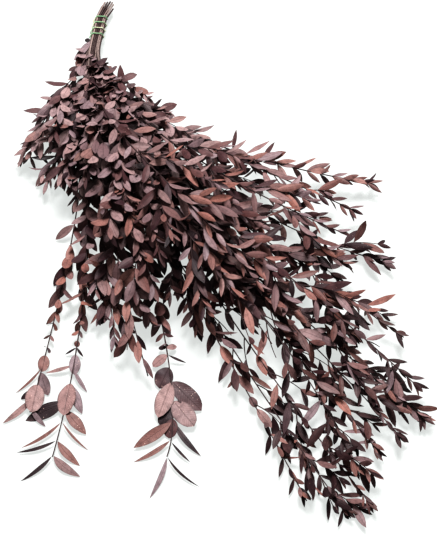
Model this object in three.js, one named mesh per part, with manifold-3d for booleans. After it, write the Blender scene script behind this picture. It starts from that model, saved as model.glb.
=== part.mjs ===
// A tied bunch of preserved small-leaved eucalyptus, dyed burgundy, lying on a table.
// Millimetres and degrees, +Z up. The bunch is laid out round its tie, with +X down the middle of the fan
// of stems and z = 0 on the table, and the finished group is then moved to the middle of its own base.
import * as THREE from "three";
import { mergeVertices } from "three/addons/utils/BufferGeometryUtils.js";
import Module from "manifold-3d";

// Bunch: the stems lie side by side in the tie, in a flattened hexagon
const BUNDLE_HEADING = -36; // the way the tied stems point, from +X
const BUNDLE_RISE = 12; // their slope, up off the table
const TIE_HEIGHT = 20; // the middle of the tie over the table
const STEM_PITCH = 2.55; // between neighbours in the tie
const TIE_HALF = 20; // the straight stretch of the stems past the tie's middle
const TIE_BACK = 27; // the same towards the cut ends
const TAIL_LENGTH = 50; // from the tie's middle to the cut ends
const TAIL_UNEVEN = 5; // longest less shortest cut end, halved
const TAIL_SPREAD = 1.2; // how far the cut ends open, as a share of their place in the tie
const TAIL_TURN = -13; // the cut ends' heading, from the tie's

// Stems and twigs
const STEM_RADIUS = 1.1;
const STEM_TIP_RADIUS = 0.75;
const TWIG_RADIUS = 0.85;
const TWIG_TIP_RADIUS = 0.65;
const STEM_SIDES = 4;
const TWIG_SIDES = 3;
const STEM_STEPS = 8; // past the tie
const TWIG_STEPS = 2;
const TWIG_SPACING = 40; // along a stem
const TWIG_ANGLE = 39; // off the stem, where it leaves
const TWIG_SWING = 58; // how far it may stand above or below level
const TWIG_LEAST = 14;
const TWIG_ROOTS = [0.6, 0.7, 0.5, 0.8, 0.4, 0.9]; // share of the root's thickness: the first that joins well
const FLATTENED = 0.62; // a bunch that lies down spreads less upwards than sideways
const FLOOR_GAP = 0.4; // under a stem that lies low

// Leaves
const NODE_STEP = 16; // between pairs on a stem
const TRAILING_NODE_STEP = 11; // between pairs on a trailing stem
const TWIG_NODE_STEP = 10.5; // between pairs on a twig
const CROWDING = 1.3; // how much closer pairs sit towards a tip
const LEAF_SMALL = 19; // length near the tie
const LEAF_LARGE = 32; // length from the middle of the bunch on
const LEAF_ROUND = 1.5; // length over width near the tie
const LEAF_SLIM = 3.7; // length over width towards the tips
const BROAD = ["stem_crown_left", "stem_left_hanging"]; // the stems with broader leaves
const BROAD_SLIM = 0.68; // their length over width, as a share of the others'
const LEAF_ANGLE = 33; // off its stem
const LEAF_TWIST = 26;
const LEAF_THICKNESS = 1.0; // at the midrib
const LEAF_ROOTS = [0.12, 0.2, 0.05, 0.27, -0.04, 0.32]; // off the stem's middle: the first that joins well
const FACE_UP = 0.75; // how far blades turn their flat side up
const GROWN = 420; // distance from the tie at which leaves reach full size, on a long stem
const GROWN_SHARE = 0.8; // the same on a short stem, as a share of its reach
const KEEP_TWIGS = 0.33; // the share of the twigs that is made
const KEEP_PAIR = 4; // one pair of leaves in this many is made
const KEEP_TRAILING_PAIR = 2; // the same on a trailing stem

// Fit
const CLEARANCE = 0.35; // between neighbouring pieces
const LEAST_Z = 0.001;
const LEAST_EDGE = 0.004; // of a joined surface
const LEAST_DEPTH = 0.0006; // of a face of a joined surface

// Tie: an elastic wound round the bunch
const TIE_TURNS = 3.5;
const TIE_LENGTH = 38;
const TIE_AT = -6; // the middle of the windings, from the tie's own middle
const TIE_RADIUS = 0.9; // of the elastic
const TIE_SIDES = 5;
const TIE_STEPS_PER_TURN = 12;

// Each stem: its name, its row in the tie, its tip, the height it arches to, how far it runs straight on from
// the tie, the heading it arrives at, the share of its reach that it arrives over, how far from the tie it
// stays bare, and the lengths of its twigs by the tie, in its middle and at its tip. A trailing stem has one
// more number, the share of its line where its pairs of small leaves end.
const STEMS = [
  ["stem_right_low", -2, [452, 138, 12], 16, 84, 45, 0.44, 100, [60, 80, 60]],
  ["stem_trailing_front", -2, [528, -195, 6], 6, 71, -49, 0.2, 160, [0, 0, 0], 0.735],
  ["stem_trailing_inner", -2, [467, -301, 6], 6, 137, -42, 0.47, 160, [0, 0, 0], 0.8],
  ["stem_trailing_left", -2, [409, -299, 6], 6, 180, -41, 0.77, 340, [0, 0, 0], 0.926],
  ["stem_middle_right", -1, [640, 2, 12], 42, 180, 6, 0.34, 85, [80, 44, 40]],
  ["stem_front_right", -1, [687, -35, 10], 17, 92, 7, 0.46, 60, [80, 16, 62]],
  ["stem_front", -1, [684, -62, 8], 12, 114, 4, 0.44, 60, [80, 12, 64]],
  ["stem_front_left", -1, [645, -92, 8], 8, 150, -5, 0.42, 60, [80, 16, 44]],
  ["stem_left_short", -1, [162, -155, 14], 40, 78, -58, 0.42, 10, [52, 46, 24]],
  ["stem_right_edge", 0, [355, 176, 18], 40, 140, 58, 0.27, 115, [38, 30, 0]],
  ["stem_far_tip", 0, [637, 68, 14], 57, 141, 22, 0.44, 95, [80, 66, 52]],
  ["stem_middle_tip", 0, [640, 31, 16], 70, 180, 12, 0.39, 88, [90, 56, 52]],
  ["stem_middle_long", 0, [649, -30, 12], 62, 235, -8, 0.43, 70, [90, 28, 44]],
  ["stem_left_inner", 0, [384, -181, 12], 54, 55, -23, 0.38, 48, [90, 74, 40]],
  ["stem_left_edge", 0, [119, -163, 22], 70, 78, -67, 0.37, 6, [56, 56, 34]],
  ["stem_right_inner", 1, [380, 136, 24], 84, 125, 43, 0.38, 105, [60, 44, 10]],
  ["stem_right_long", 1, [541, 98, 18], 78, 140, 27, 0.47, 100, [80, 84, 64]],
  ["stem_upper_right", 1, [604, 77, 24], 118, 190, 20, 0.46, 92, [90, 72, 44]],
  ["stem_left_hanging", 1, [439, -169, 14], 94, 60, -12, 0.4, 54, [100, 76, 24]],
  ["stem_left_middle", 1, [205, -137, 20], 84, 92, -48, 0.3, 14, [56, 52, 30]],
  ["stem_crown_right", 2, [410, 102, 46], 136, 80, 47, 0.53, 96, [90, 80, 50]],
  ["stem_upper_middle", 2, [484, -39, 42], 127, 170, 8, 0.4, 74, [110, 80, 46]],
  ["stem_crown_middle", 2, [428, -21, 68], 152, 155, 13, 0.38, 66, [110, 80, 46]],
  ["stem_crown_left", 2, [367, -119, 50], 126, 112, -9, 0.34, 54, [110, 74, 40]],
].map(([name, row, tip, arch, straight, arrive, pull, bare, twigs, trail = 0]) => {
  return { name, row, tip, arch, straight, arrive, pull, bare, twigs, trail };
});

// A trailing stem has no twigs, and its pairs of leaves become small along it. Each row: share of the part of
// the stem that has pairs, length, length over width, how far the blade turns up, its angle off the stem, and
// the least and most that it bends.
const TRAILING_LEAVES = [
  [0.0, 30, 2.7, 0.7, 34, 0, 30],
  [0.9, 29, 2.8, 0.7, 34, 0, 30],
  [0.95, 17, 2.8, 0.6, 40, 0, 30],
  [0.97, 12, 3.0, 0.5, 54, 0, 30],
  [1.0, 11, 3.0, 0.5, 56, 0, 30],
];

// The leaves at the ends of the trailing stems, one by one: first ovals, then narrow blades that spread left
// and right. Each row: its stem, the share of the stem's line where it grows, its tip, and its width.
const END_LEAVES = [
  ["stem_trailing_left", 0.933, [373, -266, 8], 13],
  ["stem_trailing_left", 0.954, [400, -273, 5], 13],
  ["stem_trailing_left", 0.949, [379, -302, 4], 3],
  ["stem_trailing_left", 0.968, [411, -297, 11], 21],
  ["stem_trailing_left", 0.975, [388, -301, 3], 8],
  ["stem_trailing_left", 0.983, [405, -330, 5], 7],
  ["stem_trailing_left", 0.996, [431, -292, 3], 6],
  ["stem_trailing_inner", 0.803, [365, -220, 6], 7],
  ["stem_trailing_inner", 0.816, [365, -235, 5], 3],
  ["stem_trailing_inner", 0.816, [379, -218, 5], 3],
  ["stem_trailing_inner", 0.828, [394, -237, 9], 13],
  ["stem_trailing_inner", 0.848, [374, -263, 7], 5],
  ["stem_trailing_inner", 0.855, [418, -233, 5], 5],
  ["stem_trailing_inner", 0.878, [431, -270, 12], 21],
  ["stem_trailing_inner", 0.88, [438, -250, 6], 12],
  ["stem_trailing_inner", 0.91, [414, -308, 4], 16],
  ["stem_trailing_inner", 0.924, [461, -257, 6], 13],
  ["stem_trailing_inner", 0.944, [441, -324, 6], 4],
  ["stem_trailing_inner", 0.944, [477, -263, 6], 3],
  ["stem_trailing_inner", 0.974, [443, -331, 5], 4],
  ["stem_trailing_inner", 0.974, [488, -279, 5], 10],
  ["stem_trailing_inner", 0.997, [472, -342, 4], 5],
  ["stem_trailing_inner", 0.997, [499, -286, 4], 10],
  ["stem_trailing_front", 0.736, [411, -141, 7], 7],
  ["stem_trailing_front", 0.736, [420, -122, 7], 7],
  ["stem_trailing_front", 0.748, [428, -158, 8], 12],
  ["stem_trailing_front", 0.749, [442, -122, 5], 3],
  ["stem_trailing_front", 0.773, [454, -164, 6], 21],
  ["stem_trailing_front", 0.802, [500, -136, 8], 22],
  ["stem_trailing_front", 0.804, [485, -182, 13], 20],
  ["stem_trailing_front", 0.845, [513, -153, 12], 23],
  ["stem_trailing_front", 0.856, [493, -184, 5], 16],
  ["stem_trailing_front", 0.887, [510, -183, 5], 16],
  ["stem_trailing_front", 0.895, [502, -221, 9], 13],
  ["stem_trailing_front", 0.892, [543, -162, 7], 7],
  ["stem_trailing_front", 0.944, [513, -227, 6], 6],
  ["stem_trailing_front", 0.95, [545, -176, 6], 3],
  ["stem_trailing_front", 0.998, [558, -232, 4], 6],
  ["stem_trailing_front", 0.998, [572, -182, 4], 3],
];
const END_TWIST = 14; // how far one of them may tip sideways

// Outline of the fan on the table, [x, y], which twigs stay inside: its right edge and its left edge
const FAN_RIGHT = [
  [0, 10], [50, -18], [90, -22], [115, -16], [150, -2], [180, 14], [220, 28], [250, 52],
  [300, 100], [340, 138], [380, 158], [443, 140], [500, 110], [545, 64], [600, 54], [640, 58], [720, 50],
];
const FAN_LEFT = [
  [0, -34], [24, -46], [50, -64], [70, -98], [95, -132], [119, -158], [155, -168], [192, -158], [212, -118],
  [247, -102], [287, -146], [325, -184], [392, -190], [430, -164], [448, -96], [500, -84], [620, -80],
  [720, -70],
];

// Round gaps between the leaves, through which the table shows: [x, y, radius]
const GAPS = [
  [438, -58, 13], [464, -63, 13], [460, -32, 13], [483, -35, 13], [508, -37, 12], [532, -36, 11],
  [556, -30, 10], [530, 75, 12], [554, 76, 13], [526, 18, 11],
];

const UP = new THREE.Vector3(0, 0, 1);
const LEAF_COLOUR = 0x6b4a46;
const TIE_COLOUR = 0x9fc79b;

const radians = THREE.MathUtils.degToRad;
const lerp = THREE.MathUtils.lerp;
const smooth = THREE.MathUtils.smoothstep;
const headed = (degrees, rise = 0) =>
  new THREE.Vector3(
    Math.cos(radians(degrees)) * Math.cos(radians(rise)),
    Math.sin(radians(degrees)) * Math.cos(radians(rise)),
    Math.sin(radians(rise)),
  );

// A draw from 0 to 1 that is the same each time for the same whole numbers.
function draw(...keys) {
  let h = 0x2545f491;
  for (const key of keys) {
    h = Math.imul(h ^ key, 0x9e3779b1);
    h ^= h >>> 15;
    h = Math.imul(h, 0x85ebca6b);
    h ^= h >>> 13;
  }
  return (h >>> 0) / 4294967296;
}
const swing = (...keys) => 2 * draw(...keys) - 1;

// The draws that a leaf, twig or stem takes, by number
const ROLL = 1;
const TWIG_LENGTH = 2;
const TWIG_TURN = 3;
const LENGTH = 4;
const SLIMNESS = 5;
const OPENING = 6;
const TWIST = 7;
const BEND = 8;
const SWERVE = 9;
const TAIL = 10;

// Reads a table of rows [x, ...values] between its rows
function lookUp(table, x) {
  const last = Math.max(1, table.findIndex(([to]) => x <= to));
  const [from, to] = [table[last - 1], table[last]];
  const t = (x - from[0]) / (to[0] - from[0]);
  return from.slice(1).map((value, i) => lerp(value, to[i + 1], t));
}

// Closed skin over rings of points. A ring of one point is a pointed end, and a ring of more is capped.
function loft(rings) {
  const start = [];
  const corners = [];
  for (const ring of rings) {
    start.push(corners.length);
    corners.push(...ring);
  }
  const faces = [];
  for (let i = 0; i + 1 < rings.length; i++) {
    const n = Math.max(rings[i].length, rings[i + 1].length);
    const near = (k) => start[i] + ((k % n) % rings[i].length);
    const far = (k) => start[i + 1] + ((k % n) % rings[i + 1].length);
    for (let k = 0; k < n; k++) {
      if (rings[i].length > 1) faces.push([near(k), near(k + 1), far(k)]);
      if (rings[i + 1].length > 1) faces.push([near(k + 1), far(k + 1), far(k)]);
    }
  }
  const last = rings.length - 1;
  for (let k = 1; k + 1 < rings[0].length; k++) {
    faces.push([start[0], start[0] + k + 1, start[0] + k]);
  }
  for (let k = 1; k + 1 < rings[last].length; k++) {
    faces.push([start[last], start[last] + k, start[last] + k + 1]);
  }
  const geometry = new THREE.BufferGeometry();
  const numbers = corners.flatMap((p) => p.toArray());
  geometry.setAttribute("position", new THREE.Float32BufferAttribute(numbers, 3));
  geometry.setIndex(faces.flat());
  return geometry;
}

function ringRound(centre, across, over, radius, sides) {
  return Array.from({ length: sides }, (_, k) => {
    const a = (2 * Math.PI * (k + 0.25)) / sides;
    return centre
      .clone()
      .addScaledVector(across, radius * Math.cos(a))
      .addScaledVector(over, radius * Math.sin(a));
  });
}

function offTable(point) {
  point.z = Math.max(point.z, STEM_RADIUS + FLOOR_GAP);
  return point;
}

// A point of a faceted stem, which cuts the corners of its curve a little, with the curve's direction there,
// the level direction across it, and the third way.
function frameOn(curve, steps, t) {
  const i = Math.min(Math.floor(t * steps), steps - 1);
  const [near, far] = [i, i + 1].map((k) => offTable(curve.getPoint(k / steps)));
  const along = curve.getTangent(t);
  const across = new THREE.Vector3().crossVectors(UP, along).normalize();
  const over = new THREE.Vector3().crossVectors(along, across);
  return { point: near.lerp(far, t * steps - i), along, across, over };
}

// The rings of a tapered stem of a few sides along a curve
function tube(curve, sides, steps, radius, tipRadius, rooted = 1, grow = 0) {
  return Array.from({ length: steps + 1 }, (_, i) => {
    const { point, across, over } = frameOn(curve, steps, i / steps);
    const thick = lerp(radius, tipRadius, i / steps) * (i === 0 ? rooted : 1);
    return ringRound(point, across, over, thick + grow, sides);
  });
}

// The tie's own frame
const bundleAlong = headed(BUNDLE_HEADING, BUNDLE_RISE);
const bundleAcross = new THREE.Vector3().crossVectors(UP, bundleAlong).normalize();
const bundleOver = new THREE.Vector3().crossVectors(bundleAlong, bundleAcross);
const inBundle = (along, across, over) =>
  new THREE.Vector3(0, 0, TIE_HEIGHT)
    .addScaledVector(bundleAlong, along)
    .addScaledVector(bundleAcross, across)
    .addScaledVector(bundleOver, over);

// A stem's place in the tie: rows stack up, and each row runs from the right of the fan to its left.
function place(stem) {
  const row = STEMS.filter((other) => other.row === stem.row);
  return {
    across: (row.indexOf(stem) - (row.length - 1) / 2) * -STEM_PITCH,
    over: stem.row * STEM_PITCH * Math.sin(radians(60)),
  };
}

// The line of a stem past the tie
function stemCurve(stem) {
  const { across, over } = place(stem);
  const from = inBundle(TIE_HALF, across, over);
  const tip = new THREE.Vector3(...stem.tip);
  const second = from.clone().addScaledVector(bundleAlong, stem.straight);
  const third = tip.clone().addScaledVector(headed(stem.arrive), -stem.pull * from.distanceTo(tip));
  third.z = stem.arch;
  return new THREE.CubicBezierCurve3(from, second, third, tip);
}

// The rings of a whole stem: its cut end, the straight stretch through the tie, then along its line
function stemRings(stem, number) {
  const { across, over } = place(stem);
  const tail = TAIL_LENGTH + TAIL_UNEVEN * swing(number, TAIL);
  const back = inBundle(-TIE_BACK, across, over);
  const behind = headed(BUNDLE_HEADING + TAIL_TURN, BUNDLE_RISE);
  const end = inBundle(-TIE_BACK, across * TAIL_SPREAD, over * TAIL_SPREAD);
  end.addScaledVector(behind, TIE_BACK - tail);
  const ring = (point) => ringRound(offTable(point), bundleAcross, bundleOver, STEM_RADIUS, STEM_SIDES);
  const past = tube(stemCurve(stem), STEM_SIDES, STEM_STEPS, STEM_RADIUS, STEM_TIP_RADIUS);
  return [ring(end), ring(back), ...past];
}

// The line of a twig, which leaves its stem at an angle and bends to follow it. It is shortened until it
// ends inside the fan, and left out if nothing much remains.
function twigCurve(frame, turn, length) {
  const { point, along, across, over } = frame;
  const out = across.clone().multiplyScalar(Math.cos(turn)).addScaledVector(over, Math.sin(turn) * FLATTENED);
  const leaving = along.clone().multiplyScalar(Math.cos(radians(TWIG_ANGLE)));
  leaving.addScaledVector(out.normalize(), Math.sin(radians(TWIG_ANGLE)));
  for (let long = length; long > TWIG_LEAST; long *= 0.8) {
    const knee = point.clone().addScaledVector(leaving, long * 0.45);
    const tip = knee.clone().addScaledVector(leaving, long * 0.25).addScaledVector(along, long * 0.36);
    tip.z -= long * 0.1;
    if (tip.y < lookUp(FAN_RIGHT, tip.x)[0] && tip.y > lookUp(FAN_LEFT, tip.x)[0]) {
      return { line: new THREE.QuadraticBezierCurve3(point.clone(), knee, tip), long };
    }
  }
  return null;
}

// Every shoot of a stem, which is the stem itself and its twigs, with the number of leaf pairs on each
function shootsOf(stem, number) {
  const line = stemCurve(stem);
  const reach = line.v0.distanceTo(line.v3);
  const bare = stem.bare / reach;
  const pairsOnStem = Math.round(reach / (stem.trail ? TRAILING_NODE_STEP : NODE_STEP));
  const shoots = [{ line, steps: STEM_STEPS, pairs: pairsOnStem, bare, number: 0 }];
  const count = stem.trail ? 0 : Math.round(((1 - bare) * reach) / TWIG_SPACING);
  for (let j = 0; j < count; j++) {
    const t = lerp(bare, 0.95, (j + 0.3) / count);
    const [near, middle, tip] = stem.twigs;
    const usual = t < 0.55 ? lerp(near, middle, t / 0.55) : lerp(middle, tip, (t - 0.55) / 0.45);
    const turn = Math.PI * (j % 2) + radians(TWIG_SWING) * swing(number, j, TWIG_TURN);
    const length = usual * (1 + 0.25 * swing(number, j, TWIG_LENGTH));
    const twig = twigCurve(frameOn(line, STEM_STEPS, t), turn, length);
    if (!twig) continue;
    const pairs = Math.max(2, Math.round(twig.long / TWIG_NODE_STEP));
    const first = (j + 1) % 4 < 2; // every other twig, by twos, so that both sides have some
    shoots.push({ line: twig.line, steps: TWIG_STEPS, pairs, bare: 0.1, number: j + 1, first });
  }
  return shoots;
}

// How far along its shoot a pair of leaves sits
const shareAt = (shoot, k) => 1 - (1 - (k + 0.9) / shoot.pairs) ** CROWDING;

// The form that a leaf has for its place on its shoot and in the bunch
function leafForm(stem, reach, point, share, onStem) {
  if (stem.trail && onStem) {
    const [length, slim, level, open, least, most] = lookUp(TRAILING_LEAVES, share / stem.trail);
    return { length, slim, level, open, least, most };
  }
  const grown = smooth(Math.hypot(point.x, point.y), 0, Math.min(GROWN, GROWN_SHARE * reach));
  const slimmest = LEAF_SLIM * (BROAD.includes(stem.name) ? BROAD_SLIM : 1);
  return {
    length: lerp(LEAF_SMALL, LEAF_LARGE, grown) * (1 - 0.5 * smooth(share, 0.66, 1)),
    slim: lerp(LEAF_ROUND, slimmest, grown) + 0.5 * smooth(share, 0.6, 1),
    level: FACE_UP,
    open: lerp(LEAF_ANGLE, 24, smooth(share, 0.85, 1)),
    least: -14,
    most: 38,
  };
}

// One leaf of a pair: where its root is, which way it points, the way across its blade, and its shape
function leafAt(keys, frame, turn, form) {
  const { point, along, across, over } = frame;
  const out = across.clone().multiplyScalar(Math.cos(turn)).addScaledVector(over, Math.sin(turn));
  const open = radians(form.open + 13 * swing(...keys, OPENING));
  const d = along.clone().multiplyScalar(Math.cos(open)).addScaledVector(out, Math.sin(open));
  d.addScaledVector(across, 0.16 * swing(...keys, SWERVE)).normalize();
  const face = new THREE.Vector3().crossVectors(d, new THREE.Vector3().crossVectors(along, out)).normalize();
  const skyward = UP.clone().addScaledVector(d, -d.z);
  if (skyward.length() > 0.2) face.lerp(skyward.normalize().multiplyScalar(face.z < 0 ? -1 : 1), form.level);
  const side = new THREE.Vector3().crossVectors(face, d).normalize();
  face.crossVectors(d, side);
  const twist = radians(LEAF_TWIST * swing(...keys, TWIST));
  side.multiplyScalar(Math.cos(twist)).addScaledVector(face, Math.sin(twist));
  const length = form.length * (1 + 0.2 * swing(...keys, LENGTH));
  const low = point.z + d.z * length < LEAF_THICKNESS;
  if (low && form.level > 0.3) side.crossVectors(UP, d).normalize(); // flat on the table
  return {
    root: point.clone(),
    d,
    side,
    length,
    width: length / (form.slim * (1 + 0.14 * swing(...keys, SLIMNESS))),
    bend: radians(lerp(form.least, form.most, draw(...keys, BEND))),
  };
}

function leavesOf(stem, number, shoot) {
  const leaves = [];
  const reach = new THREE.Vector3(...stem.tip).length();
  const roll = 2 * Math.PI * draw(number, shoot.number, ROLL);
  const every = stem.trail ? KEEP_TRAILING_PAIR : KEEP_PAIR;
  for (let k = (shoot.pairs - 1) % every; k < shoot.pairs; k += every) {
    const share = shareAt(shoot, k);
    if (share < shoot.bare || share > (stem.trail || 1)) continue;
    const frame = frameOn(shoot.line, shoot.steps, Math.min(share, 0.985));
    const form = leafForm(stem, reach, frame.point, share, shoot.number === 0);
    for (const half of [0, 1]) {
      const turn = roll + (Math.PI / 2) * k + Math.PI * half;
      leaves.push(leafAt([number, shoot.number, 2 * k + half], frame, turn, form));
    }
  }
  for (const row of END_LEAVES) {
    if (row[0] === stem.name) leaves.push(endLeaf(stem, row));
  }
  return leaves.filter((leaf) => !isOverGap(leaf));
}

// One leaf of the table of the trailing stems' ends, lying nearly flat
function endLeaf(stem, row) {
  const [, share, tip, width] = row;
  const root = frameOn(stemCurve(stem), STEM_STEPS, share).point;
  const d = new THREE.Vector3(...tip).sub(root);
  const length = d.length();
  d.normalize();
  const side = new THREE.Vector3().crossVectors(UP, d).normalize();
  const face = new THREE.Vector3().crossVectors(d, side);
  const twist = radians(END_TWIST * swing(END_LEAVES.indexOf(row), TWIST));
  side.multiplyScalar(Math.cos(twist)).addScaledVector(face, Math.sin(twist));
  return { root, d, side, length, width, bend: 0 };
}

function isOverGap({ root, d, length }) {
  const middle = root.clone().addScaledVector(d, length / 2);
  return GAPS.some(([x, y, radius]) => Math.hypot(middle.x - x, middle.y - y) < radius);
}

// Stations along a blade: [share of its length, share of its half width]
const BLADE = [
  [0.24, 0.76],
  [0.5, 1.0],
  [0.78, 0.64],
];
const SMALL_BLADE = [
  [0.32, 0.93],
  [0.7, 0.8],
];
const SMALL_LEAF = 36; // a shorter leaf has fewer stations

// A blade: flat below, with a low ridge above for its midrib, and bent along its length. A blade that would
// dip under the table lies on it. Grown, it is the same blade with room round it.
function blade(leaf, rooted, grow = 0) {
  const { d, side, length, width, bend } = leaf;
  const root = leaf.root.clone().addScaledVector(d, rooted);
  const face = new THREE.Vector3().crossVectors(d, side);
  const at = (t) => {
    const ahead = Math.abs(bend) < 1e-3 ? t : Math.sin(bend * t) / bend;
    const down = Math.abs(bend) < 1e-3 ? 0 : (1 - Math.cos(bend * t)) / bend;
    return root
      .clone()
      .addScaledVector(d, length * ahead)
      .addScaledVector(face, -length * down);
  };
  const rings = [[at(0)]];
  for (const [t, share] of length < SMALL_LEAF ? SMALL_BLADE : BLADE) {
    const half = (width / 2) * share;
    const middle = at(t);
    middle.z = Math.max(middle.z, half * Math.abs(side.z));
    const corner = (across, over) => middle.clone().addScaledVector(side, across).addScaledVector(face, over);
    const wide = half + grow;
    const ridge = corner(0, LEAF_THICKNESS + grow);
    const edges = [corner(-wide, grow), corner(-wide, -grow), corner(wide, -grow), corner(wide, grow)];
    rings.push(grow ? [...edges, ridge] : [edges[0], edges[3], ridge]);
  }
  rings.push([at(1 + grow / length)]);
  if (grow) return loft(rings);
  for (const ring of rings) {
    for (const p of ring) p.z = Math.max(p.z, ring.length > 1 ? 0 : LEAST_Z);
  }
  return loft(rings);
}

// Solids, for joining and for testing what would cross
const wasm = await Module();
wasm.setup();

function toSolid(geometry) {
  const merged = mergeVertices(geometry, 1e-5);
  return new wasm.Manifold(
    new wasm.Mesh({
      numProp: 3,
      vertProperties: merged.getAttribute("position").array,
      triVerts: new Uint32Array(merged.getIndex().array),
    }),
  );
}

function toGeometry(solid) {
  const mesh = solid.getMesh();
  const geometry = new THREE.BufferGeometry();
  geometry.setAttribute("position", new THREE.BufferAttribute(mesh.vertProperties, 3));
  geometry.setIndex(new THREE.BufferAttribute(mesh.triVerts, 1));
  const flat = geometry.toNonIndexed();
  flat.computeVertexNormals();
  return flat;
}

// What stands so far, so that a new piece can be tested against its neighbours
const standing = [];

function piece(owner, shoot, geometry) {
  geometry.computeBoundingBox();
  return { owner, shoot, box: geometry.boundingBox, solid: toSolid(geometry) };
}

function isClear(probe, spared) {
  const near = standing.filter((other) => !spared(other) && other.box.intersectsBox(probe.box));
  return near.every((other) => probe.solid.intersect(other.solid).isEmpty());
}

// Whether a joined surface is free of slivers, which would collapse when its points are rounded
function isSound(solid) {
  const { vertProperties, triVerts } = solid.getMesh();
  const corner = (i) => new THREE.Vector3().fromArray(vertProperties, 3 * triVerts[i]);
  for (let i = 0; i < triVerts.length; i += 3) {
    const [a, b, c] = [corner(i), corner(i + 1), corner(i + 2)];
    const edges = [a.distanceTo(b), b.distanceTo(c), c.distanceTo(a)];
    const twiceArea = b.sub(a).cross(c.sub(a)).length();
    if (Math.min(...edges) < LEAST_EDGE || twiceArea < LEAST_DEPTH * Math.max(...edges)) return false;
  }
  return true;
}

// Joins a piece to its stem, unless that leaves slivers
function stand(made) {
  const { owner } = made;
  const whole = owner.whole ? owner.whole.add(made.solid) : made.solid;
  if (!isSound(whole)) return false;
  owner.whole = whole;
  standing.push(made);
  return true;
}

const bunch = STEMS.map((stem, i) => ({ stem, number: i + 1, shoots: shootsOf(stem, i + 1), whole: null }));
for (const one of bunch) stand(piece(one, 0, loft(stemRings(one.stem, one.number))));
for (const one of bunch) {
  const twigs = one.shoots.splice(1);
  const wanted = 1 + Math.round(twigs.length * KEEP_TWIGS);
  for (const twig of [...twigs.filter((t) => t.first), ...twigs.filter((t) => !t.first)]) {
    if (one.shoots.length >= wanted) break;
    const rings = (...last) => tube(twig.line, TWIG_SIDES, TWIG_STEPS, TWIG_RADIUS, TWIG_TIP_RADIUS, ...last);
    const probe = piece(one, twig.number, loft(rings(1, 2 * CLEARANCE)));
    const grows = (rooted) => stand(piece(one, twig.number, loft(rings(rooted))));
    if (isClear(probe, (other) => other.owner === one) && TWIG_ROOTS.some(grows)) one.shoots.push(twig);
  }
  one.shoots.sort((a, b) => a.number - b.number);
}

// Leaves go on in turn, one on every stem and then the next, so that no stem crowds out another. A leaf that
// would cross a neighbour is left out.
const waiting = bunch.map((one) =>
  one.shoots.flatMap((shoot) => leavesOf(one.stem, one.number, shoot).map((leaf) => ({ leaf, shoot }))),
);
const most = Math.max(...waiting.map((list) => list.length));
for (let turn = 0; turn < most; turn++) {
  bunch.forEach((one, i) => {
    if (turn >= waiting[i].length) return;
    const { leaf, shoot } = waiting[i][turn];
    const probe = piece(one, shoot.number, blade(leaf, 0, CLEARANCE));
    const spared = (other) => other.owner === one && (other.shoot === shoot.number || other.shoot === 0);
    const grows = (rooted) => stand(piece(one, shoot.number, blade(leaf, rooted)));
    if (isClear(probe, spared)) LEAF_ROOTS.some(grows);
  });
}

// The elastic, wound in a screw line that wraps the outer stems at an even distance
function tieCentre(turned) {
  const gap = STEM_RADIUS + CLEARANCE + TIE_RADIUS;
  const [x, y] = [Math.cos(turned), Math.sin(turned)];
  const spots = STEMS.map(place);
  const reach = (spot) => spot.across * x + spot.over * y;
  const outer = spots.reduce((best, spot) => (reach(spot) > reach(best) ? spot : best));
  const along = TIE_AT + (turned / (2 * Math.PI * TIE_TURNS) - 0.5) * TIE_LENGTH;
  return inBundle(along, outer.across + gap * x, outer.over + gap * y);
}

function tie() {
  const steps = Math.round(TIE_TURNS * TIE_STEPS_PER_TURN);
  const turned = (i) => (2 * Math.PI * (i + 0.5)) / TIE_STEPS_PER_TURN;
  const rings = Array.from({ length: steps }, (_, i) => {
    const outward = bundleAcross.clone().multiplyScalar(Math.cos(turned(i)));
    outward.addScaledVector(bundleOver, Math.sin(turned(i)));
    return ringRound(tieCentre(turned(i)), bundleAlong, outward, TIE_RADIUS, TIE_SIDES);
  });
  return toGeometry(toSolid(loft(rings)));
}

const group = new THREE.Group();
for (const one of bunch) {
  const mesh = new THREE.Mesh(
    toGeometry(one.whole),
    new THREE.MeshStandardMaterial({ color: LEAF_COLOUR, roughness: 0.7, metalness: 0 }),
  );
  mesh.name = one.stem.name;
  group.add(mesh);
}
const elastic = new THREE.Mesh(
  tie(),
  new THREE.MeshStandardMaterial({ color: TIE_COLOUR, roughness: 0.6, metalness: 0 }),
);
elastic.name = "tie";
group.add(elastic);

// Move the whole to the middle of its base
const box = new THREE.Box3().setFromObject(group, true);
const middle = box.getCenter(new THREE.Vector3());
group.position.set(-middle.x, -middle.y, -box.min.z);

export default group;
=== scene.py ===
# A tied bunch of preserved small-leaved eucalyptus, dyed burgundy, lying on a pale table. Each leafy stem of
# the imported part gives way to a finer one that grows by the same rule, with all its twigs and leaves. Unlike
# the solids, its leaves are a little smaller by the tie and point more ways, and it has a few more twigs,
# single leaves and gaps. Sizes in the rule are millimetres and degrees, and the finished pieces are metres.
from functools import partialmethod
from math import cos, floor, hypot, pi, radians, sin

import bpy
import numpy as np
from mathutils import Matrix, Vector
from numpy.linalg import norm


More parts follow.
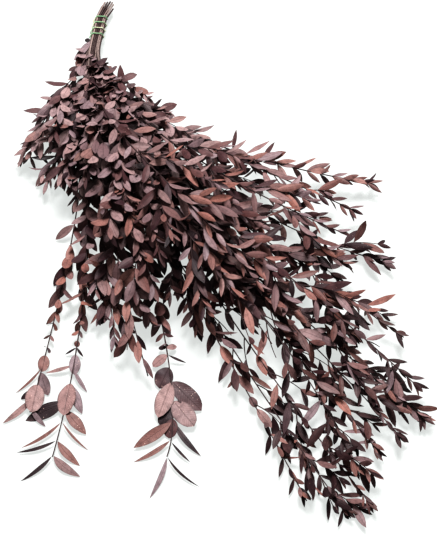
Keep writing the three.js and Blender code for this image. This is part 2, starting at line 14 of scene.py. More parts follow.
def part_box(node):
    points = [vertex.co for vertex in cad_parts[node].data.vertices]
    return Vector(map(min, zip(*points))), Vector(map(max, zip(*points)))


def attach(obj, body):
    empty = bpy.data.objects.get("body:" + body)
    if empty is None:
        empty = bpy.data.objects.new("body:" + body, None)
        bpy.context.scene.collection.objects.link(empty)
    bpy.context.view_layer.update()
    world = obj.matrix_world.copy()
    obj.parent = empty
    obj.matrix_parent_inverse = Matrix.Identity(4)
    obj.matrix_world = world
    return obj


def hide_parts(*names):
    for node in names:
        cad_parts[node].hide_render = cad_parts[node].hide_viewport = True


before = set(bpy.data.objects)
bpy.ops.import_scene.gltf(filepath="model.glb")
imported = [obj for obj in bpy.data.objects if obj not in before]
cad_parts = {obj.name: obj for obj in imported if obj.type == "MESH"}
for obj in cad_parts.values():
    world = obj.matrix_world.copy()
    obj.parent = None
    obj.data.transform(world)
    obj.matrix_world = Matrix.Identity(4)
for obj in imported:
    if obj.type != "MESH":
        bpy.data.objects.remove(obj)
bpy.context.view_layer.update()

MM = 0.001

# Bunch: the stems lie side by side in the tie, in a flattened hexagon
BUNDLE_HEADING = -36
BUNDLE_RISE = 12
TIE_HEIGHT = 20
STEM_PITCH = 2.55
TIE_HALF = 20  # how far the straight stretch reaches past the middle of the tie
TIE_BACK = 27  # and how far behind it
TAIL_LENGTH = 50
TAIL_UNEVEN = 5
TAIL_SPREAD = 1.2
TAIL_TURN = -13

# Stems and twigs
STEM_RADIUS = 1.1
STEM_TIP_RADIUS = 0.55
TWIG_RADIUS = 0.7
TWIG_TIP_RADIUS = 0.35
NODE_SWELLING = 0.28  # how much thicker a stem is where a pair of leaves sits
NODE_LENGTH = 3.5  # how far that swelling reaches
STEM_BEND_STEP = 5  # between the points of a stem's line
LEAST_BENDS = 6
TWIG_SPACING = 40
TWIG_ANGLE = 39
TWIG_SWING = 58
TWIG_LEAST = 14
TWIG_SHRINK = 0.8  # by which a twig is shortened until it fits
TWIG_UNEVEN = 0.25  # the share by which its length may differ from the usual
TWIG_MIDDLE = 0.55  # share of a stem's line at which its middle twigs grow
TWIG_LAST = 0.95  # and at which its last one may
TWIG_BARE = 0.1  # share of a twig that has no leaves
TWIG_KNEE = 0.45  # share of its length where it bends, to go so far on, along its stem and down:
TWIG_ONWARD, TWIG_ALONG, TWIG_DROOP = 0.25, 0.36, 0.1
FILLING_BEND = 0.12
FLATTENED = 0.62
FLOOR_GAP = 0.4

# Leaves
NODE_STEP = 16
TRAILING_NODE_STEP = 11
TWIG_NODE_STEP = 10.5
FILLING_NODE_STEP = 9
FIRST_FILLING = 100  # their numbers start here
TIP_LEAF = 10  # how far the leaves reach past the end of such a twig
# How far a leaf lies under others, which its colour paints as shade, is judged by these numbers
COVER_RADIUS = 12  # how near, seen from above, a leaf must be to shade another
COVER_DROP = 6  # and how much higher
COVER_MOST = 8  # this many leaves above one shade it fully
COVER_AT = 0.6  # share of a leaf's length at which this is judged
OVAL_CLEARANCE = 13  # between the middle of a single oval and that of any other leaf
FIRST_PAIR = 0.9  # how far from the foot of a shoot it sits, as a share of the spacing
LAST_LEAF = 0.985  # share of a shoot's line past which no leaf has its root
CROWDING = 1.3  # how much closer together pairs sit towards the tip
LEAF_SMALL = 16.5
LEAF_LARGE = 31
LENGTH_UNEVEN = 0.2
LEAF_ROUND = 1.5  # length over width by the tie
LEAF_SLIM = 3.7  # and of a full-grown leaf
SLIM_UNEVEN = 0.14
ROUND_TO_NARROW = (1.7, 3.0)  # length over width between which a leaf stops being round
BROAD = ("crown_left", "left_hanging")
BROAD_SLIM = 0.68
LEAF_ANGLE = 33
ANGLE_UNEVEN = 18
SWERVE_MOST = 0.28
LEAF_TWIST = 26
LEAF_BEND = (-14, 38)
LEAST_BEND = 0.02  # so that nothing is divided by 0
LEAF_FOLD = (0.05, 0.34)
LEAF_SICKLE = (0.07, 0.16)  # how far a blade curves aside, from a broad one to a narrow one
SICKLE_SLIM = (4, 5)
TIP_SHORTER, SHORTER_FROM = 0.4, 0.66  # towards the tip of a shoot, from a share of it on
TIP_SLIMMER, SLIMMER_FROM = 0.5, 0.6
TIP_ANGLE, CLOSER_FROM = 24, 0.85
LEAF_THICKNESS = 1.0  # in the solids, where a leaf that would dip lower than this lies flat
BLADE_HALF = 0.22  # half the thickness of a real blade, at its midrib
FACE_UP = 0.75  # how far a blade turns its face up
ROUND_FLATTER = 0.6  # how much less a round leaf bends than a narrow one
GROWN = 420  # distance from the tie at which leaves are full-grown
GROWN_SHARE = 0.8  # or at this share of their stem's reach, if that is nearer
FAR = (330, 600)  # distances from the tie between which the sprays darken
FEW_SPECKS = 0.2
MANY_SPECKS = 0.9

# Tie
TIE_TURNS = 3.5
TIE_LENGTH = 38
TIE_AT = -6
TIE_RADIUS = 0.9
TIE_CLEARANCE = 0.35
TIE_STEPS = 90  # in a turn
TIE_PINCH = (-3, 8)  # steps from its ends over which the elastic is pinched
TIE_STRETCHED = 0.82  # its thickness as a share of the one in the solids
TIE_RIB, TIE_RIB_TURN = 0.07, 2.1  # how high its ribs are, and how far one step goes through them

# How many points a blade has along and across it, and a stem and the elastic have round them
STATIONS = 8
TRAILING_STATIONS = 14
STRIPS = 5
STEM_SIDES = 6
TIE_SIDES = 10

# Each stem: its name, its row in the tie, its tip, the height it arches to, how far it runs straight on from
# the tie, the heading it arrives at, the share of its reach that it arrives over, how far from the tie it
# stays bare, and the lengths of its twigs by the tie, in its middle and at its tip. A trailing stem has one
# more number, the share of its line where its pairs of small leaves end.
STEM_ROWS = [
    ("right_low", -2, (452, 138, 12), 16, 84, 45, 0.44, 100, (60, 80, 60)),
    ("trailing_front", -2, (528, -195, 6), 6, 71, -49, 0.2, 160, (0, 0, 0), 0.735),
    ("trailing_inner", -2, (467, -301, 6), 6, 137, -42, 0.47, 160, (0, 0, 0), 0.8),
    ("trailing_left", -2, (409, -299, 6), 6, 180, -41, 0.77, 340, (0, 0, 0), 0.926),
    ("middle_right", -1, (640, 2, 12), 42, 180, 6, 0.34, 85, (80, 44, 40)),
    ("front_right", -1, (687, -35, 10), 17, 92, 7, 0.46, 60, (80, 16, 62)),
    ("front", -1, (684, -62, 8), 12, 114, 4, 0.44, 60, (80, 12, 64)),
    ("front_left", -1, (645, -92, 8), 8, 150, -5, 0.42, 60, (80, 16, 44)),
    ("left_short", -1, (162, -155, 14), 40, 78, -58, 0.42, 10, (52, 46, 24)),
    ("right_edge", 0, (355, 176, 18), 40, 140, 58, 0.27, 115, (38, 30, 0)),
    ("far_tip", 0, (637, 68, 14), 57, 141, 22, 0.44, 95, (80, 66, 52)),
    ("middle_tip", 0, (640, 31, 16), 70, 180, 12, 0.39, 88, (90, 56, 52)),
    ("middle_long", 0, (649, -30, 12), 62, 235, -8, 0.43, 70, (90, 28, 44)),
    ("left_inner", 0, (384, -181, 12), 54, 55, -23, 0.38, 48, (90, 74, 40)),
    ("left_edge", 0, (119, -163, 22), 70, 78, -67, 0.37, 6, (56, 56, 34)),
    ("right_inner", 1, (380, 136, 24), 84, 125, 43, 0.38, 105, (60, 44, 10)),
    ("right_long", 1, (541, 98, 18), 78, 140, 27, 0.47, 100, (80, 84, 64)),
    ("upper_right", 1, (604, 77, 24), 118, 190, 20, 0.46, 92, (90, 72, 44)),
    ("left_hanging", 1, (439, -169, 14), 94, 60, -12, 0.4, 54, (100, 76, 24)),
    ("left_middle", 1, (205, -137, 20), 84, 92, -48, 0.3, 14, (56, 52, 30)),
    ("crown_right", 2, (410, 102, 46), 136, 80, 47, 0.53, 96, (90, 80, 50)),
    ("upper_middle", 2, (484, -39, 42), 127, 170, 8, 0.4, 74, (110, 80, 46)),
    ("crown_middle", 2, (428, -21, 68), 152, 155, 13, 0.38, 66, (110, 80, 46)),
    ("crown_left", 2, (367, -119, 50), 126, 112, -9, 0.34, 54, (110, 74, 40)),
]
STEM_FIELDS = ("name", "row", "tip", "arch", "straight", "arrive", "pull", "bare", "twigs", "trail")
STEMS = [dict(zip(STEM_FIELDS, (*row, 0))) for row in STEM_ROWS]

# A trailing stem's pairs of leaves become small along it. Each row: share of their part of the stem, length,
# length over width, how far the blade turns up, its angle off the stem, and the least and most that it bends.
TRAILING_LEAVES = [
    (0.0, 30, 2.7, 0.7, 34, 0, 30),
    (0.9, 29, 2.8, 0.7, 34, 0, 30),
    (0.95, 17, 2.8, 0.6, 40, 0, 30),
    (0.97, 12, 3.0, 0.5, 54, 0, 30),
    (1.0, 11, 3.0, 0.5, 56, 0, 30),
]

# The leaves at the ends of the trailing stems, one by one: first ovals, then narrow blades that spread left
# and right. Each row: the share of the stem's line where it grows, its tip, its width, how far it curls to
# its left, how dark it is, and its tone.
END_LEAVES = [
    ("trailing_left", [
        (0.933, (373, -266, 8), 13, 0, 0, 0), (0.954, (400, -273, 5), 13, 0.09, 0.6, 0.4),
        (0.949, (379, -302, 4), 3, -0.216, 0, 0), (0.968, (411, -297, 11), 21, 0, 0, 0.1),
        (0.975, (388, -301, 3), 8, 0, 1, 0.1), (0.983, (405, -330, 5), 7, -0.162, 0, 0.1),
        (0.996, (431, -292, 3), 6, 0.135, 0.5, 0.4),
    ]),
    ("trailing_inner", [
        (0.803, (365, -220, 6), 7, 0, 0, 0), (0.816, (365, -235, 5), 3, -0.135, 1, 0.1),
        (0.816, (379, -218, 5), 3, 0.135, 1, 0.1), (0.828, (394, -237, 9), 13, 0, 0.2, 0.4),
        (0.848, (374, -263, 7), 5, -0.162, 0, 0.1), (0.855, (418, -233, 5), 5, 0.135, 0.4, 0.4),
        (0.878, (431, -270, 12), 21, 0, 0, 0.1), (0.88, (438, -250, 6), 12, 0.075, 0.3, 0.4),
        (0.91, (414, -308, 4), 16, -0.045, 1, 0.1), (0.924, (461, -257, 6), 13, 0.075, 0.1, 0),
        (0.944, (441, -324, 6), 4, -0.27, 0.2, 0), (0.944, (477, -263, 6), 3, 0.27, 0.2, 0),
        (0.974, (443, -331, 5), 4, -0.243, 0.9, 0.1), (0.974, (488, -279, 5), 10, 0.27, 0.1, 0),
        (0.997, (472, -342, 4), 5, -0.243, 0.8, 0.1), (0.997, (499, -286, 4), 10, 0.324, 0.1, 0.7),
    ]),
    ("trailing_front", [
        (0.736, (411, -141, 7), 7, 0, 0.9, 0.1), (0.736, (420, -122, 7), 7, 0, 0, 0.1),
        (0.748, (428, -158, 8), 12, -0.045, 0, 0.1), (0.749, (442, -122, 5), 3, 0.135, 0.9, 0.1),
        (0.773, (454, -164, 6), 21, 0, 1, 0.22), (0.802, (500, -136, 8), 22, 0.045, 0.8, 0.35),
        (0.804, (485, -182, 13), 20, -0.03, 0, 0.1), (0.845, (513, -153, 12), 23, 0.03, 0, 0.7),
        (0.856, (493, -184, 5), 16, 0, 1, 0.1), (0.887, (510, -183, 5), 16, 0, 1, 0.5),
        (0.895, (502, -221, 9), 13, -0.06, 0.1, 0), (0.892, (543, -162, 7), 7, 0.27, 0.9, 0.1),
        (0.944, (513, -227, 6), 6, -0.27, 0.2, 0), (0.95, (545, -176, 6), 3, 0.135, 0.9, 0.1),
        (0.998, (558, -232, 4), 6, -0.216, 0.2, 0.4), (0.998, (572, -182, 4), 3, 0.324, 0.8, 0.1),
    ]),
]
END_TWIST = 14  # how far one of them may tip sideways
END_BEND = 0.2
END_FOLD = (0.02, 0.16)
END_GROWN = 0.3
SPECKLED_WIDTH = 12  # a wider one has many specks

# Outline of the fan on the table, which twigs stay inside: its right edge and its left edge
FAN_RIGHT = [
    (0, 10), (50, -18), (90, -22), (115, -16), (150, -2), (180, 14), (220, 28), (250, 52),
    (300, 100), (340, 138), (380, 158), (443, 140), (500, 110), (545, 64), (600, 54), (640, 58), (720, 50),
]
FAN_LEFT = [
    (0, -34), (24, -46), (50, -64), (70, -98), (95, -132), (119, -158), (155, -168), (192, -158), (212, -118),
    (247, -102), (287, -146), (325, -184), (392, -190), (430, -164), (448, -96), (500, -84), (620, -80),
    (720, -70),
]

# Round gaps between the leaves, through which the table shows: (x, y, radius)
GAPS = [
    (438, -58, 13), (464, -63, 13), (460, -32, 13), (483, -35, 13), (508, -37, 12), (532, -36, 11),
    (556, -30, 10), (530, 75, 12), (554, 76, 13), (526, 18, 11), (523, 2, 11), (412, -182, 8), (423, 135, 10),
    (250, -174, 11),
]

# Twigs that fill the outline where the rule leaves it thin: the stem, the share of its line where the twig
# leaves it, and the twig's tip
FILLING_TWIGS = [
    ("left_edge", 0.82, (127, -162, 16)), ("left_short", 0.82, (152, -160, 14)),
    ("left_edge", 0.53, (91, -128, 34)), ("left_edge", 0.72, (124, -147, 30)),
    ("front_left", 0.59, (373, -105, 25)), ("front", 0.61, (392, -92, 18)),
    ("left_inner", 0.87, (353, -187, 14)), ("left_hanging", 0.77, (344, -158, 20)),
    ("far_tip", 0.74, (472, 21, 22)), ("right_long", 0.85, (484, 40, 20)),
    ("right_long", 0.89, (508, 66, 16)), ("far_tip", 0.87, (567, 55, 12)),
    ("upper_right", 0.95, (600, 59, 10)), ("far_tip", 0.94, (631, 71, 8)),
    ("middle_long", 0.93, (627, -10, 10)), ("front", 0.91, (644, -80, 8)),
    ("front", 0.94, (672, -72, 6)), ("front", 0.96, (686, -44, 6)),
    ("left_edge", 0.01, (32, -46, 28)), ("left_short", 0.06, (48, -56, 30)),
]

# Single leaves by the tie, along the top of the fan and on its open strands, in rows like the ones above
LOOSE_LEAVES = [
    ("left_edge", [(0.0, (4, -20, 24), 6, 0.05, 1, 0)]),
    ("left_short", [(0.0, (15, -28, 22), 5, -0.08, 0.2, 0.5)]),
    ("left_middle", [(0.0, (24, -39, 28), 7, 0.04, 0, 0.4)]),
    ("crown_left", [(0.02, (30, -49, 32), 8, 0, 0.1, 0.4)]),
    ("right_edge", [
        (0.25, (84, -12, 60), 10, 0.06, 1, 0.5), (0.6, (229, 65, 51), 5, 0.05, 1, 0.5),
        (0.677, (264, 96, 48), 6, 0.05, 1, 0.5), (0.708, (292, 111, 35), 7, 0.05, 0, 0),
        (0.765, (298, 134, 33), 5, 0.1, 0, 0.1), (0.802, (322, 138, 31), 9, 0, 0, 0),
    ]),
    ("left_hanging", [
        (0.848, (382, -164, 44), 10, 0.04, 0, 0.05), (0.875, (399, -170, 38), 11, 0.04, 0, 0.62),
        (0.93, (426, -173, 29), 10, 0.05, 0, 0.05), (0.963, (447, -166, 22), 6, 0.05, 1, 0.5),
    ]),
    ("right_edge", [(0.907, (357, 173, 26), 7, 0.05, 0, 0.1)]),
    ("right_low", [
        (0.955, (448, 143, 15), 7, 0.05, 1, 0.3), (0.948, (461, 122, 15), 8, 0.05, 1, 0.5),
    ]),
    ("far_tip", [
        (0.733, (468, 10, 42), 10, 0.05, 0, 0.2), (0.772, (486, 10, 38), 9, 0, 0, 0.2),
        (0.845, (538, 44, 32), 9, 0, 0, 0.2),
    ]),
    ("middle_tip", [
        (0.723, (467, -10, 49), 9, 0.05, 0, 0.2), (0.78, (511, 15, 44), 12, 0, 0, 0.3),
    ]),
    ("middle_right", [
        (0.763, (512, -36, 32), 10, 0.03, 1, 0.3), (0.88, (591, -2, 23), 10, 0, 0, 0),
    ]),
    ("upper_middle", [(0.917, (471, -55, 60), 10, 0.05, 0, 0)]),
    ("front_right", [
        (0.765, (504, -56, 17), 11, -0.04, 0, 0.05), (0.812, (540, -72, 15), 8, 0, 0.4, 0.15),
        (0.838, (572, -75, 16), 9, 0, 1, 0.3),
    ]),
    ("front_left", [
        (0.743, (476, -82, 16), 11, 0.05, 0, 0.03), (0.795, (514, -78, 14), 11, 0.05, 0, 0.62),
        (0.833, (529, -84, 11), 9, 0, 1, 0.5), (0.853, (557, -81, 11), 11, 0.03, 0.42, 0.2),
    ]),
]
# Stems whose single leaves lie open, clear of all others
ON_STRANDS = ("left_hanging", "front_left", "front_right", "upper_middle", "middle_right")

# The draws that a leaf, twig or stem takes, by number
ROLL, TWIG_LENGTH, TWIG_TURN, LENGTH, SLIMNESS, OPENING, TWIST, BEND, SWERVE, TAIL = range(1, 11)
FOLD, SICKLE, WAVE, TONE, SIDE_SHOWN, WEAR = range(11, 17)

UP = np.array([0.0, 0.0, 1.0])


def draw(*keys):
    """A draw from 0 to 1 that is the same each time for the same whole numbers."""
    h = 0x2545F491
    for key in keys:
        h = ((h ^ key) * 0x9E3779B1) & 0xFFFFFFFF
        h ^= h >> 15
        h = (h * 0x85EBCA6B) & 0xFFFFFFFF
        h ^= h >> 13
    return h / 4294967296


def swing(*keys):
    """The same from -1 to 1."""
    return 2 * draw(*keys) - 1


def lerp(a, b, t):
    return a + (b - a) * t


def smooth(x, low, high):
    """0 below low, 1 above high, and smooth between."""
    x = min(max((x - low) / (high - low), 0), 1)
    return x * x * (3 - 2 * x)


def whole(x):
    return floor(x + 0.5)


def unit(v):
    return v / norm(v)


def headed(degrees, rise=0):
    """The direction that has this heading on the table and rises this steeply."""
    a, r = radians(degrees), radians(rise)
    return np.array([cos(a) * cos(r), sin(a) * cos(r), sin(r)])


def look_up(table, x):
    """Reads a table of rows (x, ...values) between its rows."""
    last = next((i for i, row in enumerate(table) if x <= row[0]), 1) or 1
    low, high = table[last - 1], table[last]
    t = (x - low[0]) / (high[0] - low[0])
    return [lerp(a, b, t) for a, b in zip(low[1:], high[1:])]


def off_table(point):
    """The point, lifted where a stem through it would touch the table."""
    return np.array([point[0], point[1], max(point[2], STEM_RADIUS + FLOOR_GAP)])


def bezier(points, t):
    """The point and the direction at a share of the way along a Bezier curve."""
    points = [np.asarray(p, float) for p in points]
    while len(points) > 2:
        points = [lerp(a, b, t) for a, b in zip(points, points[1:])]
    return lerp(points[0], points[1], t), unit(points[1] - points[0])


def frame_on(line, t):
    """A point of a stem, its direction, the level direction across it, and the third way."""
    point, along = bezier(line, t)
    across = unit(np.cross(UP, along))
    return off_table(point), along, across, np.cross(along, across)


bundle_along = headed(BUNDLE_HEADING, BUNDLE_RISE)
bundle_across = unit(np.cross(UP, bundle_along))
bundle_over = np.cross(bundle_along, bundle_across)


def in_bundle(along, across, over):
    """A point given from the middle of the tie, in the bundle's own directions."""
    return TIE_HEIGHT * UP + along * bundle_along + across * bundle_across + over * bundle_over


def place(stem):
    """A stem's place in the tie: rows stack up, and each row runs from the right of the fan to its left."""
    row = [other for other in STEMS if other["row"] == stem["row"]]
    across = ((len(row) - 1) / 2 - row.index(stem)) * STEM_PITCH
    return across, stem["row"] * STEM_PITCH * sin(radians(60))


def stem_line(stem):
    """The curve of a stem past the tie."""
    start = in_bundle(TIE_HALF, *place(stem))
    tip = np.array(stem["tip"], float)
    second = start + bundle_along * stem["straight"]
    third = tip - headed(stem["arrive"]) * stem["pull"] * norm(tip - start)
    third[2] = stem["arch"]
    return start, second, third, tip


def cut_end(stem, number):
    """The cut end of a stem, and where it enters the straight stretch through the tie."""
    across, over = place(stem)
    tail = TAIL_LENGTH + TAIL_UNEVEN * swing(number, TAIL)
    behind = headed(BUNDLE_HEADING + TAIL_TURN, BUNDLE_RISE)
    end = in_bundle(-TIE_BACK, across * TAIL_SPREAD, over * TAIL_SPREAD) + behind * (TIE_BACK - tail)
    return off_table(end), off_table(in_bundle(-TIE_BACK, across, over))


def twig_line(where, turn, length):
    """The curve of a twig, shortened until it ends inside the fan, or None if nothing much remains."""
    point, along, across, over = where
    out = unit(across * cos(turn) + over * sin(turn) * FLATTENED)
    leaving = along * cos(radians(TWIG_ANGLE)) + out * sin(radians(TWIG_ANGLE))
    while length > TWIG_LEAST:
        knee = point + leaving * length * TWIG_KNEE
        tip = knee + leaving * length * TWIG_ONWARD + along * length * TWIG_ALONG - UP * length * TWIG_DROOP
        if look_up(FAN_LEFT, tip[0])[0] < tip[1] < look_up(FAN_RIGHT, tip[0])[0]:
            return (point, knee, tip), length
        length *= TWIG_SHRINK
    return None


def twig_of(line, long, spacing, number):
    return dict(line=line, long=long, pairs=max(2, whole(long / spacing)), bare=TWIG_BARE, number=number)


def filling_twig(where, tip, number):
    """A twig that ends, with its last leaves, at a given tip, bent to come in along its stem."""
    point, along = where[:2]
    tip = tip - unit(tip - point) * TIP_LEAF
    long = norm(tip - point)
    knee = (point + tip) / 2 - along * long * FILLING_BEND
    return twig_of((point, knee, tip), long, FILLING_NODE_STEP, number)


def shoots_of(stem, number):
    """Every shoot of a stem, which is the stem itself and its twigs."""
    line = stem_line(stem)
    reach = norm(line[3] - line[0])
    bare = stem["bare"] / reach
    pairs = whole(reach / (TRAILING_NODE_STEP if stem["trail"] else NODE_STEP))
    shoots = [dict(line=line, long=reach, pairs=pairs, bare=bare, number=0)]
    count = 0 if stem["trail"] else whole((1 - bare) * reach / TWIG_SPACING)
    near, middle, tip = stem["twigs"]
    for j in range(count):
        t = lerp(bare, TWIG_LAST, (j + 0.3) / count)
        if t < TWIG_MIDDLE:
            usual = lerp(near, middle, t / TWIG_MIDDLE)
        else:
            usual = lerp(middle, tip, (t - TWIG_MIDDLE) / (1 - TWIG_MIDDLE))
        turn = pi * (j % 2) + radians(TWIG_SWING) * swing(number, j, TWIG_TURN)
        twig = twig_line(frame_on(line, t), turn, usual * (1 + TWIG_UNEVEN * swing(number, j, TWIG_LENGTH)))
        if twig:
            shoots.append(twig_of(*twig, TWIG_NODE_STEP, j + 1))
    for i, (name, t, tip) in enumerate(FILLING_TWIGS):
        if name == stem["name"]:
            shoots.append(filling_twig(frame_on(line, t), np.array(tip, float), FIRST_FILLING + i))
    return shoots


def share_at(shoot, k):
    """How far along its shoot a pair of leaves sits."""
    return 1 - (1 - (k + FIRST_PAIR) / shoot["pairs"]) ** CROWDING


def grown_at(stem, point):
    """How far leaves have come to their full size, from 0 by the tie to 1."""
    reach = norm(stem["tip"])
    return smooth(hypot(point[0], point[1]), 0, min(GROWN, GROWN_SHARE * reach))


def leaf_form(stem, point, share, on_stem):
    """The form that a leaf has for its place on its shoot and in the bunch."""
    if stem["trail"] and on_stem:
        form = look_up(TRAILING_LEAVES, share / stem["trail"])
    else:
        grown = grown_at(stem, point)
        slimmest = LEAF_SLIM * (BROAD_SLIM if stem["name"] in BROAD else 1)
        length = lerp(LEAF_SMALL, LEAF_LARGE, grown) * (1 - TIP_SHORTER * smooth(share, SHORTER_FROM, 1))
        slim = lerp(LEAF_ROUND, slimmest, grown) + TIP_SLIMMER * smooth(share, SLIMMER_FROM, 1)
        form = (length, slim, FACE_UP, lerp(LEAF_ANGLE, TIP_ANGLE, smooth(share, CLOSER_FROM, 1)), *LEAF_BEND)
    return dict(zip(("length", "slim", "level", "open", "least", "most"), form))


def tipped(side, face, degrees):
    """A blade's way across, turned about its length."""
    twist = radians(degrees)
    return side * cos(twist) + face * sin(twist)


def leaf_at(keys, where, turn, form):
    """One leaf of a pair: its root, direction, way across, size, and how it bends, folds and is coloured."""
    point, along, across, over = where
    out = across * cos(turn) + over * sin(turn)
    opening = radians(form["open"] + ANGLE_UNEVEN * swing(*keys, OPENING))
    ahead = along * cos(opening) + out * sin(opening)
    ahead = unit(ahead + across * SWERVE_MOST * swing(*keys, SWERVE))
    face = unit(np.cross(ahead, np.cross(along, out)))
    skyward = UP - ahead * ahead[2]
    if norm(skyward) > 0.2:
        face = lerp(face, unit(skyward) * (-1 if face[2] < 0 else 1), form["level"])
    side = unit(np.cross(face, ahead))
    side = tipped(side, np.cross(ahead, side), LEAF_TWIST * swing(*keys, TWIST))
    length = form["length"] * (1 + LENGTH_UNEVEN * swing(*keys, LENGTH))
    if point[2] + ahead[2] * length < LEAF_THICKNESS and form["level"] > 0.3:
        side = unit(np.cross(UP, ahead))
    slim = form["slim"] * (1 + SLIM_UNEVEN * swing(*keys, SLIMNESS))
    roundness = 1 - smooth(slim, *ROUND_TO_NARROW)
    bend = radians(lerp(form["least"], form["most"], draw(*keys, BEND)))
    bend = bend * (1 - ROUND_FLATTER * roundness)
    distance = hypot(point[0], point[1])
    return dict(
        root=point * MM, ahead=ahead, side=side, length=length * MM, width=length / slim * MM,
        bend=bend if abs(bend) > LEAST_BEND else LEAST_BEND,
        fold=lerp(*LEAF_FOLD, draw(*keys, FOLD)),
        sickle=lerp(*LEAF_SICKLE, smooth(slim, *SICKLE_SLIM)) * swing(*keys, SICKLE),
        wave=swing(*keys, WAVE), roundness=roundness, tone=draw(*keys, TONE),
        shown=draw(*keys, SIDE_SHOWN), wear=draw(*keys, WEAR),
        grown=smooth(distance, 0, GROWN), far=smooth(distance, *FAR), specks=FEW_SPECKS,
    )


def in_rows(groups):
    return [(stem, *row) for stem, rows in groups for row in rows]


ONE_BY_ONE = in_rows(END_LEAVES) + in_rows(LOOSE_LEAVES)


def single_leaf(stem, row):
    """One leaf of the tables of single leaves, lying nearly flat."""
    _, share, tip, width, curl, darkness, tone = row
    i = ONE_BY_ONE.index(row)
    root = frame_on(stem_line(stem), share)[0]
    chord = np.array(tip) - root
    length = norm(chord)
    ahead = unit(unit(chord) - unit(np.cross(UP, chord)) * curl)
    side = unit(np.cross(UP, ahead))
    return dict(
        root=root * MM, ahead=ahead, length=length * MM, width=width * MM,
        side=tipped(side, np.cross(ahead, side), END_TWIST * swing(i, TWIST)),
        bend=END_BEND, fold=lerp(*END_FOLD, draw(i, FOLD)), sickle=curl, wave=swing(i, WAVE),
        roundness=1 - smooth(length / width, *ROUND_TO_NARROW),
        tone=tone, shown=darkness, wear=draw(i, WEAR), far=0,
        grown=END_GROWN if stem["trail"] else smooth(root[0], 0, GROWN),
        specks=MANY_SPECKS if width > SPECKLED_WIDTH else FEW_SPECKS,
    )


def point_on(leaf, share):
    return (leaf["root"] + leaf["ahead"] * leaf["length"] * share) / MM


STEM_NAMED = {stem["name"]: stem for stem in STEMS}
OVAL_MIDDLES = [
    (np.array(row[2]) + frame_on(stem_line(STEM_NAMED[row[0]]), row[1])[0]) / 2
    for row in in_rows(LOOSE_LEAVES)
    if row[0] in ON_STRANDS
]


def is_in_the_way(leaf):
    """Whether a leaf would close a gap or cover one of the single leaves on the open strands."""
    middle = point_on(leaf, 0.5)
    over_gap = any(hypot(middle[0] - x, middle[1] - y) < radius for x, y, radius in GAPS)
    return over_gap or any(norm(middle - spot) < OVAL_CLEARANCE for spot in OVAL_MIDDLES)


def leaves_of(stem, number, shoot):
    """The leaves that grow in pairs on a shoot, each pair a quarter turn from the last."""
    leaves = []
    roll = 2 * pi * draw(number, shoot["number"], ROLL)
    for k in range(shoot["pairs"]):
        share = share_at(shoot, k)
        if not shoot["bare"] <= share <= (stem["trail"] or 1):
            continue
        where = frame_on(shoot["line"], min(share, LAST_LEAF))
        form = leaf_form(stem, where[0], share, shoot["number"] == 0)
        for half in (0, 1):
            keys = (number, shoot["number"], 2 * k + half)
            leaves.append(leaf_at(keys, where, roll + pi / 2 * k + pi * half, form))
    return [leaf for leaf in leaves if not is_in_the_way(leaf)]


def leaves_on(stem, number):
    leaves = [leaf for shoot in shoots_of(stem, number) for leaf in leaves_of(stem, number, shoot)]
    return leaves + [single_leaf(stem, row) for row in ONE_BY_ONE if row[0] == stem["name"]]


def wood_of(stem, number, shoot):
    """The points of a shoot's wood and its radius at each, thicker where pairs of leaves sit."""
    steps = max(LEAST_BENDS, whole(shoot["long"] / STEM_BEND_STEP))
    stout, fine = (STEM_RADIUS, STEM_TIP_RADIUS) if shoot["number"] == 0 else (TWIG_RADIUS, TWIG_TIP_RADIUS)
    points, radii = [], []
    if shoot["number"] == 0:
        end, enter = cut_end(stem, number)
        points += [end, lerp(end, enter, 0.5), enter]
        radii += [STEM_RADIUS] * 3
    nodes = [t for t in (share_at(shoot, k) for k in range(shoot["pairs"])) if t > shoot["bare"]]
    for i in range(steps + 1):
        t = i / steps
        nearness = max(0, 1 - min(abs(t - node) for node in nodes) * shoot["long"] / NODE_LENGTH)
        points.append(frame_on(shoot["line"], t)[0])
        radii.append(lerp(stout, fine, t) * (1 + NODE_SWELLING * nearness))
    return points, radii


def set_painted_shade_cover(leaves):
    """Gives each leaf how deep it lies under the others, from 0 to 1, which its colour paints as shade."""
    middles = np.array([point_on(leaf, COVER_AT) for leaf in leaves])
    for leaf, middle in zip(leaves, middles):
        beside = np.hypot(middles[:, 0] - middle[0], middles[:, 1] - middle[1]) < COVER_RADIUS
        above = middles[:, 2] > middle[2] + COVER_DROP
        leaf["covered"] = min(1, np.count_nonzero(beside & above) / COVER_MOST)


# Node trees

STALK = 0.05  # share of a blade's length
STATION_CROWDING = 1.25  # how much closer together a blade's stations are towards its stalk
RIPPLE_TURN, RIPPLE_START, RIPPLE_HEIGHT = 11.0, 9.0, 0.07
CUP_POWER = 1.3
ABOVE_TABLE = 1.3  # least height of a blade's middle, in halves of its thickness


class Wire:
    """A socket of a node tree that can be reckoned with like a number or a vector."""

    def __init__(self, tree, socket):
        self.tree = tree
        self.socket = socket

    def work(self, operation, *others):
        return reckon(self.tree, operation, self, *others)

    def __rsub__(self, other):
        return reckon(self.tree, "SUBTRACT", other, self)

    __add__ = partialmethod(work, "ADD")
    __sub__ = partialmethod(work, "SUBTRACT")
    __mul__ = partialmethod(work, "MULTIPLY")
    __truediv__ = partialmethod(work, "DIVIDE")
    __pow__ = partialmethod(work, "POWER")


def is_vector(value):
    return isinstance(value, Wire) and value.socket.type == "VECTOR"


def reckon(tree, operation, *values):
    """Adds the maths node that fits the values: for numbers, for vectors, or for one of each."""
    if not any(is_vector(v) for v in values):
        return add(tree, "ShaderNodeMath", dict(enumerate(values)), operation=operation)
    if operation == "MULTIPLY" and not all(is_vector(v) for v in values):
        vector, number = sorted(values, key=is_vector, reverse=True)
        return add(tree, "ShaderNodeVectorMath", {"Vector": vector, "Scale": number}, operation="SCALE")
    return add(tree, "ShaderNodeVectorMath", dict(enumerate(values)), operation=operation)


